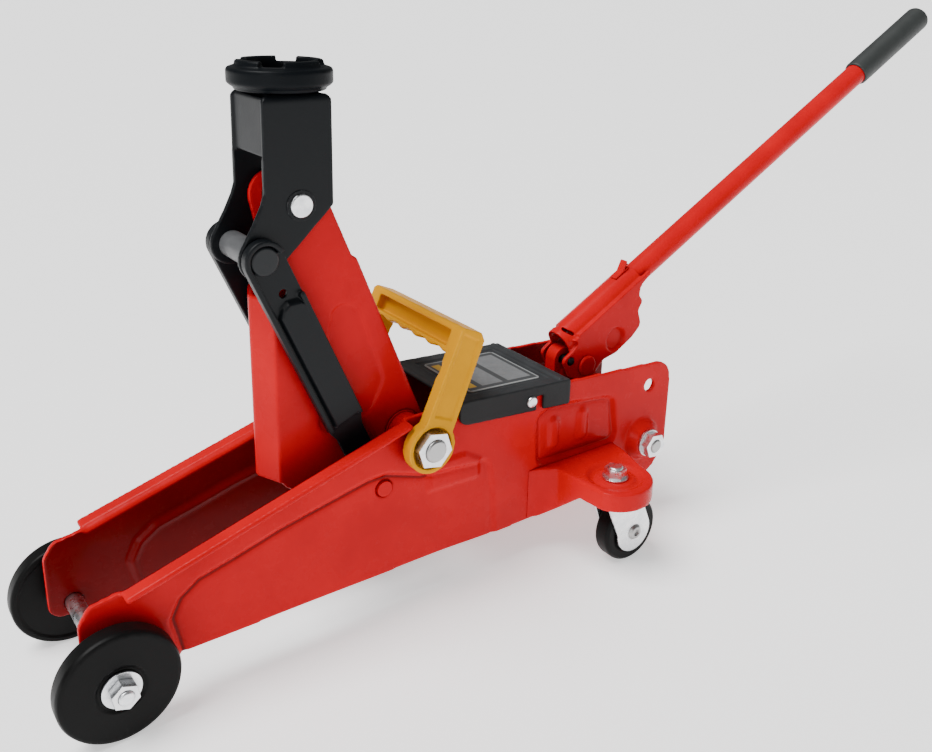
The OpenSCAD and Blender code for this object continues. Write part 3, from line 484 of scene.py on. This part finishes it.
def away_from(shape, x, z):
    """Signed distance in millimetres from a closed outline of (x, z) corners, negative inside it."""
    inside, best = False, math.inf
    for (ax, az), (bx, bz) in zip(shape, shape[1:] + shape[:1]):
        dx, dz = bx - ax, bz - az
        t = max(0.0, min(1.0, ((x - ax) * dx + (z - az) * dz) / (dx * dx + dz * dz)))
        best = min(best, math.hypot(x - ax - t * dx, z - az - t * dz))
        if (az > z) != (bz > z) and x < ax + (z - az) * dx / dz:
            inside = not inside
    return -best if inside else best


def step(distance, width):
    """1 well inside an outline, 0 outside it, and a smooth slope of the given width between."""
    t = max(0.0, min(1.0, 0.5 - distance / width))
    return t * t * (3 - 2 * t)


# How far below an outer face a point may be and still belong to it
SKIN = 0.6
# Link: its upper pin, its direction and outer face, and its pad's outline, height and slope
LINK_TOP = (98.99, 232.27)
LINK_ANGLE = math.radians(-66)
LINK_FACE = 24
LINK_PAD = [(27.5, 1), (29, -3.5), (33, -6.8), (112, -6.8), (112, 11.6), (36, 11.6), (30, 8)]
PAD_HEIGHT, PAD_SLOPE = 3.2, 2.4


def link_shape(co):
    """Presses the link's face out into a long pad beside its turned-up edge."""
    x, y, z = design(co)
    along, across = turned(x, z, LINK_TOP, LINK_ANGLE)
    if y > LINK_FACE - SKIN:
        y = max(y, LINK_FACE + PAD_HEIGHT * step(away_from(LINK_PAD, along, across), PAD_SLOPE))
    return at_side(co, y)


# Castor bracket: its top face and the sheet's thickness there, and the ring round the castor's nut
EAR_TOP, EAR_SHEET = 62, 4.2
CASTOR = (318, 74)
RING_RADIUS, RING_HEIGHT, RING_SLOPE = 17.5, 2.2, 5


def bracket_shape(co):
    """Dishes the castor bracket's top: it rises in a soft ring round the nut."""
    x, y, z = design(co)
    if z > EAR_TOP - EAR_SHEET:
        away = math.hypot(x - CASTOR[0], y - CASTOR[1])
        z += RING_HEIGHT * step(RING_RADIUS - away, RING_SLOPE)
    return at_height(co, z)


# Handle socket: its cheeks' outer face, and the round pressing in them
CHEEK_OUT, CHEEK_SKIN = 12.9, 1.5
ROUND_AT = (371.8, 129.7)
ROUND_RADIUS, ROUND_DEPTH, ROUND_SLOPE = 8.0, 1.9, 2.2


def socket_shape(co):
    """Sinks the round pressing in each cheek of the handle socket."""
    x, y, z = design(co)
    if y > CHEEK_OUT - CHEEK_SKIN:
        away = math.hypot(x - ROUND_AT[0], z - ROUND_AT[1])
        y -= ROUND_DEPTH * step(away - ROUND_RADIUS, ROUND_SLOPE)
    return at_side(co, y)


# Carrying handle: its pivot, direction and outer face, and the channel's outline, depth and slope
ARM_PIVOT = (189, 110)
BAIL_ANGLE = math.radians(67)
STRAP_FACE = PLATE_OUT + 13.4
STRAP_CHANNEL = [(19, -6.6), (56, -6.6), (69, -5.2), (70.5, 6.8), (19, 6.6)]
CHANNEL_DEPTH, CHANNEL_SLOPE = 1.0, 1.8


def strap_shape(co):
    """Sinks a shallow channel along each strap of the carrying handle, between its borders."""
    x, y, z = design(co)
    along, across = turned(x, z, ARM_PIVOT, BAIL_ANGLE)
    if y > STRAP_FACE - SKIN:
        y -= CHANNEL_DEPTH * step(away_from(STRAP_CHANNEL, along, across), CHANNEL_SLOPE)
    return at_side(co, y)


# Castor axle: its place, half its length, and the socket in its ends
CASTOR_AXLE = (331, 22.5)
AXLE_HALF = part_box("castor_axle_right")[1].y / MM - CASTOR[1]
AXLE_SKIN = 0.4
SOCKET_HALF, SOCKET_DEPTH, SOCKET_SLOPE = 2.1, 1.4, 0.5
SOCKET_TURNS = [math.radians(60 * k + 15) for k in range(3)]


def axle_shape(co):
    """Sinks a hexagonal socket into each end of the castor axle."""
    x, y, z = design(co)
    out = abs(y - CASTOR[1])
    if out > AXLE_HALF - AXLE_SKIN:
        flats = max(abs(turned(x, z, CASTOR_AXLE, turn)[0]) for turn in SOCKET_TURNS)
        out -= SOCKET_DEPTH * step(flats - SOCKET_HALF, SOCKET_SLOPE)
    return at_side(co, CASTOR[1] + math.copysign(out, y - CASTOR[1]))


# Cover: above this height is its top, and a ridge crosses it at the rear
COVER_TOP = 118
RIDGE_X, RIDGE_HALF, RIDGE_HEIGHT, RIDGE_SLOPE = 299, 1.8, 1.2, 1.6


def cover_shape(co):
    """Raises a ridge across the rear of the cover."""
    x, y, z = design(co)
    if y < PLATE_OUT + 1 and z > COVER_TOP:
        z += RIDGE_HEIGHT * step(abs(x - RIDGE_X) - RIDGE_HALF, RIDGE_SLOPE)
    return at_height(co, z)


# Nodes, the size in millimetres of the steps they are rebuilt from, how far their edges are
# rounded, and what shapes them
FORMED = (
    (("castor_bracket_left", "castor_bracket_right"), 0.8, 14, bracket_shape),
    (("handle_socket",), 0.6, 6, socket_shape),
    (("carry_handle",), 0.6, 4, strap_shape),
    (("saddle",), 0.6, 4, None),
    (("link_left", "link_right"), 0.6, 4, link_shape),
    (("saddle_bracket",), 0.7, 4, None),
    (("lift_arm",), 0.9, 4, None),
    (("castor_fork_left", "castor_fork_right"), 0.6, 4, None),
    (("power_cover",), 0.6, 3, cover_shape),
    (("castor_axle_left", "castor_axle_right"), 0.25, 2, axle_shape),
)


def form_pieces():
    for names, voxel, rounds, shape in FORMED:
        for name in names:
            mesh = formed_mesh(name, voxel, rounds)
            if shape:
                for v in mesh.vertices:
                    v.co = shape(v.co)
            stand_in(mesh, name, nodes[name].data.materials[0])


# ---------- pressed side plates ----------
PLATE_STEP = 1.1
PLATE_ROUNDS = 4
# Each outline is drawn inside its panel, and the panel reaches beyond it by the corner radius
CORNER = 7
LONG_PANEL = [(48, 0), (243, 0), (239, 60), (236, 76), (190, 79), (166, 87), (155, 86.5),
              (130, 81), (99, 74), (74, 66.5), (52, 60.5), (43, 54), (39, 46), (42, 32)]
REAR_PANEL = [(289, 72), (348, 71), (344, 93), (336, 94.5), (294, 99), (288, 96)]
EMBOSS = [(198, 74), (232, 74), (232, 84), (222, 90), (200, 90)]
EMBOSS_GROWN, EMBOSS_HEIGHT = 2, 1.8
PANEL_SUNK, PANEL_SLOPE = 2.4, 4.5
REAR_SHARE = 0.92
# The long panel runs out towards its rear end
FADE_X, FADE_LONG, FADE_SHARE = 225, 50, 0.6
CREASE_IN, CREASE_DEPTH, CREASE_WIDTH = 2.4, 0.85, 1.8
# Upright ribs in the rear panel: their places, lower and upper ends, radius, height and slope
RIBS = (297, 323)
RIB_FROM, RIB_TO = 78, 92
RIB_RADIUS, RIB_HEIGHT, RIB_SLOPE = 4, 2.0, 5


def crease(distance):
    """1 on a line and falling off beside it."""
    return math.exp(-(distance / CREASE_WIDTH) ** 2)


def pressing(x, z):
    """How far the sheet is pressed inwards at a point of the side plate, in millimetres."""
    depth = -EMBOSS_HEIGHT * step(away_from(EMBOSS, x, z) - EMBOSS_GROWN, PANEL_SLOPE)
    fade = 1 - FADE_SHARE * step(FADE_X - x, FADE_LONG)
    for panel, share in ((LONG_PANEL, fade), (REAR_PANEL, REAR_SHARE)):
        away = away_from(panel, x, z) - CORNER
        sunk = PANEL_SUNK * step(away, PANEL_SLOPE) + CREASE_DEPTH * crease(away + CREASE_IN)
        depth += share * sunk
    for rib_x in RIBS:
        away = math.hypot(x - rib_x, max(0, RIB_FROM - z, z - RIB_TO))
        depth -= RIB_HEIGHT * step(away - RIB_RADIUS, RIB_SLOPE)
    return depth


def pressed_plate(name, side, look):
    """The side plate with its panels pressed through the sheet, instead of cut square into it."""
    mesh = formed_mesh(name, PLATE_STEP, 0)
    made = bmesh.new()
    made.from_mesh(mesh)
    # the outer face and the panels that the CAD model cuts into it become one flat face
    for v in made.verts:
        if PLATE_OUT - PANEL_DEPTH - 0.4 < abs(v.co.y) / MM < PLATE_OUT + 0.3:
            v.co.y = side * PLATE_OUT * MM
    for _ in range(PLATE_ROUNDS):
        bmesh.ops.smooth_vert(made, verts=made.verts, factor=0.5,
                              use_axis_x=True, use_axis_y=True, use_axis_z=True)
    for v in made.verts:
        x, _, z = design(v.co)
        v.co.y -= side * MM * pressing(x, z)
    made.to_mesh(mesh)
    made.free()
    mesh.name = name + "_pressed"
    stand_in(mesh, name, look)


# ---------- label ----------
LABEL_AT = AXLE_X + 261 * MM
LABEL_LONG = 58 * MM
LABEL_WIDE = 54 * MM
LABEL_ROUND = 3 * MM
LABEL_EDGE = 0.05 * MM
BORDER = 1.6 * MM
SOFT_RIM = 0.3 * MM
YELLOW_INK = (0.62, 0.36, 0.02)
# The label's outline from the bottom up: how far it is drawn in and how high it is, in millimetres
LABEL_LOOPS = ((0, -0.3), (0, 0.20), (0.35, 0.36))


def label_print():
    """A blank glossy label: charcoal, a pale border, two plain panels and two yellow blocks."""
    look = Look("label_print", coat=0.3, coat_roughness=0.15, specular=0.3)

    def field(x0, x1, y0, y1):
        """1 inside a rectangle of the label."""
        inside = 1.0
        for axis, low, high in ((0, x0, x1), (1, y0, y1)):
            place = look.along(axis)
            inside = look.times(inside, look.ramp(place, low - SOFT_RIM, low))
            inside = look.times(inside, look.ramp(place, high, high + SOFT_RIM, 1.0, 0.0))
        return inside

    left, right = LABEL_AT - LABEL_LONG / 2, LABEL_AT + LABEL_LONG / 2
    near, far = -LABEL_WIDE / 2, LABEL_WIDE / 2
    cloud = look.noise(60, 4, 0.6)
    ground = look.mixed(cloud, (0.045, 0.048, 0.050), (0.060, 0.063, 0.065))
    printed = field(left + BORDER, right - BORDER, near + BORDER, far - BORDER)
    colour = look.mixed(printed, (0.30, 0.31, 0.31), ground)
    pale = look.mixed(look.noise(220, 5, 0.7), (0.12, 0.125, 0.13), (0.24, 0.245, 0.25))
    # where each block begins and ends along and across the label, as shares of it, and its ink
    blocks = ((0.60, 0.92, 0.10, 0.90, pale), (0.24, 0.52, 0.10, 0.62, pale),
              (0.24, 0.52, 0.70, 0.90, YELLOW_INK), (0.06, 0.16, 0.10, 0.90, YELLOW_INK))
    for x0, x1, y0, y1, ink in blocks:
        block = field(left + x0 * LABEL_LONG, left + x1 * LABEL_LONG,
                      near + y0 * LABEL_WIDE, near + y1 * LABEL_WIDE)
        colour = look.mixed(block, colour, ink)
    look.bump(look.noise(900, 2, 0.5), 0.08, 0.0002)
    return look.done(colour, look.ramp(cloud, 0.2, 0.8, 0.30, 0.42))


def label_rim():
    """The label's rounded outline, from its middle."""
    rim = []
    for corner, (sx, sy) in enumerate(((1, 1), (-1, 1), (-1, -1), (1, -1))):
        for k in range(7):
            turn = math.radians(90 * corner + 15 * k)
            rim.append((sx * (LABEL_LONG / 2 - LABEL_ROUND) + LABEL_ROUND * math.cos(turn),
                        sy * (LABEL_WIDE / 2 - LABEL_ROUND) + LABEL_ROUND * math.sin(turn)))
    return rim


def cover_label(look):
    """A thin rounded label lying in the sunken field of the cover."""
    cover = nodes["power_cover"].data
    tree = BVHTree.FromPolygons([v.co for v in cover.vertices],
                                [p.vertices for p in cover.polygons])
    above = [Vector((LABEL_AT + s * LABEL_LONG / 2, 0, 1)) for s in (-1, 1)]
    front, rear = (tree.ray_cast(place, Vector((0, 0, -1)))[0] for place in above)
    along = (rear - front).normalized()
    up = along.cross(Vector((0, 1, 0))).normalized()
    up = up if up.z > 0 else -up
    middle = (front + rear) / 2
    rim = label_rim()
    made = bmesh.new()
    loops = []
    for inset, height in LABEL_LOOPS:
        scale_x = 1 - inset * MM / (LABEL_LONG / 2)
        scale_y = 1 - inset * MM / (LABEL_WIDE / 2)
        corners = (middle + along * (u * scale_x) + Vector((0, v * scale_y, 0)) + up * height * MM
                   for u, v in rim)
        loops.append([made.verts.new(corner) for corner in corners])
    for low_loop, high_loop in zip(loops, loops[1:]):
        for k in range(len(rim)):
            n = (k + 1) % len(rim)
            made.faces.new((low_loop[k], low_loop[n], high_loop[n], high_loop[k]))
    made.faces.new(loops[-1])
    made.faces.new(loops[0][::-1])
    bmesh.ops.recalc_face_normals(made, faces=made.faces)
    mesh = bpy.data.meshes.new("cover_label")
    made.to_mesh(mesh)
    made.free()
    mesh.materials.append(look)
    piece = in_scene("cover_label", mesh)
    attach(piece, "chassis")
    weld(piece)
    soften(piece, LABEL_EDGE)


# ---------- studio ----------
# The sky is pale to look at, and dim as a light, so that the floor has no visible end
SKY_SEEN = 1.95
SKY_LIGHT = 0.20
FLOOR_RADIUS = 300
FLOOR_GLOW = 0.7
# Area lights: where they are, their size and their power
AREA_LIGHTS = {"key": ((-1.9, -1.4, 1.0), (1.0, 1.0), 12), "fill": ((1.8, -1.2, 0.6), (1.0, 0.8), 3)}
TOP_FROM = Vector((-0.45, 0.12, 1.0))
TOP_POWER = 4.2
TOP_SPREAD = math.radians(35)


def make_sky():
    world = bpy.data.worlds.new("studio")
    world.use_nodes = True
    tree = world.node_tree
    background = tree.nodes["Background"]
    background.inputs["Color"].default_value = (1, 1, 1, 1)
    level = tree.nodes.new("ShaderNodeMapRange")
    level.inputs["To Min"].default_value = SKY_LIGHT
    level.inputs["To Max"].default_value = SKY_SEEN
    seen = tree.nodes.new("ShaderNodeLightPath").outputs["Is Camera Ray"]
    tree.links.new(seen, level.inputs["Value"])
    tree.links.new(level.outputs["Result"], background.inputs["Strength"])
    bpy.context.scene.world = world


def make_lights():
    middle = (cad_low + cad_high) / 2
    for name, (place, size, power) in AREA_LIGHTS.items():
        lamp = in_scene(name, bpy.data.lights.new(name, "AREA"))
        lamp.data.shape = "RECTANGLE"
        lamp.data.size, lamp.data.size_y = size
        lamp.data.energy = power
        lamp.location = place
        lamp.rotation_euler = (middle - Vector(place)).to_track_quat("-Z", "Y").to_euler()
    top = in_scene("top", bpy.data.lights.new("top", "SUN"))
    top.data.energy = TOP_POWER
    top.data.angle = TOP_SPREAD
    top.rotation_euler = TOP_FROM.to_track_quat("Z", "Y").to_euler()


def make_floor():
    mesh = bpy.data.meshes.new("floor")
    made = bmesh.new()
    bmesh.ops.create_circle(made, cap_ends=True, radius=FLOOR_RADIUS, segments=96)
    made.to_mesh(mesh)
    made.free()
    look = Look("pale_floor")
    look.shader.inputs["Emission Color"].default_value = (1, 1, 1, 1)
    look.shader.inputs["Emission Strength"].default_value = FLOOR_GLOW
    tone = look.noise(3, 3, 0.5)
    mesh.materials.append(look.done(look.mixed(tone, (0.93, 0.93, 0.93), (0.96, 0.96, 0.96)), 0.8))
    floor = in_scene("floor", mesh)
    floor.location.z = cad_low.z


make_camera()
make_sky()
make_lights()
make_floor()
finish_cad_nodes({slot: maker() for slot, maker in MAKERS.items()})
nodes["link_pins_upper"].data.materials[0] = pin_finish()
nodes["saddle"].data.materials[0] = black_paint("black_cast", 0.07)
# the plates' look paints their inner sides dark as painted shade
plate_look = red_paint("red_enamel_sheet", (PLATE_OUT - PLATE_T + 0.3) * MM)
for side, name in ((-1, "side_plate_left"), (1, "side_plate_right")):
    pressed_plate(name, side, plate_look)
form_pieces()
cover_label(label_print())
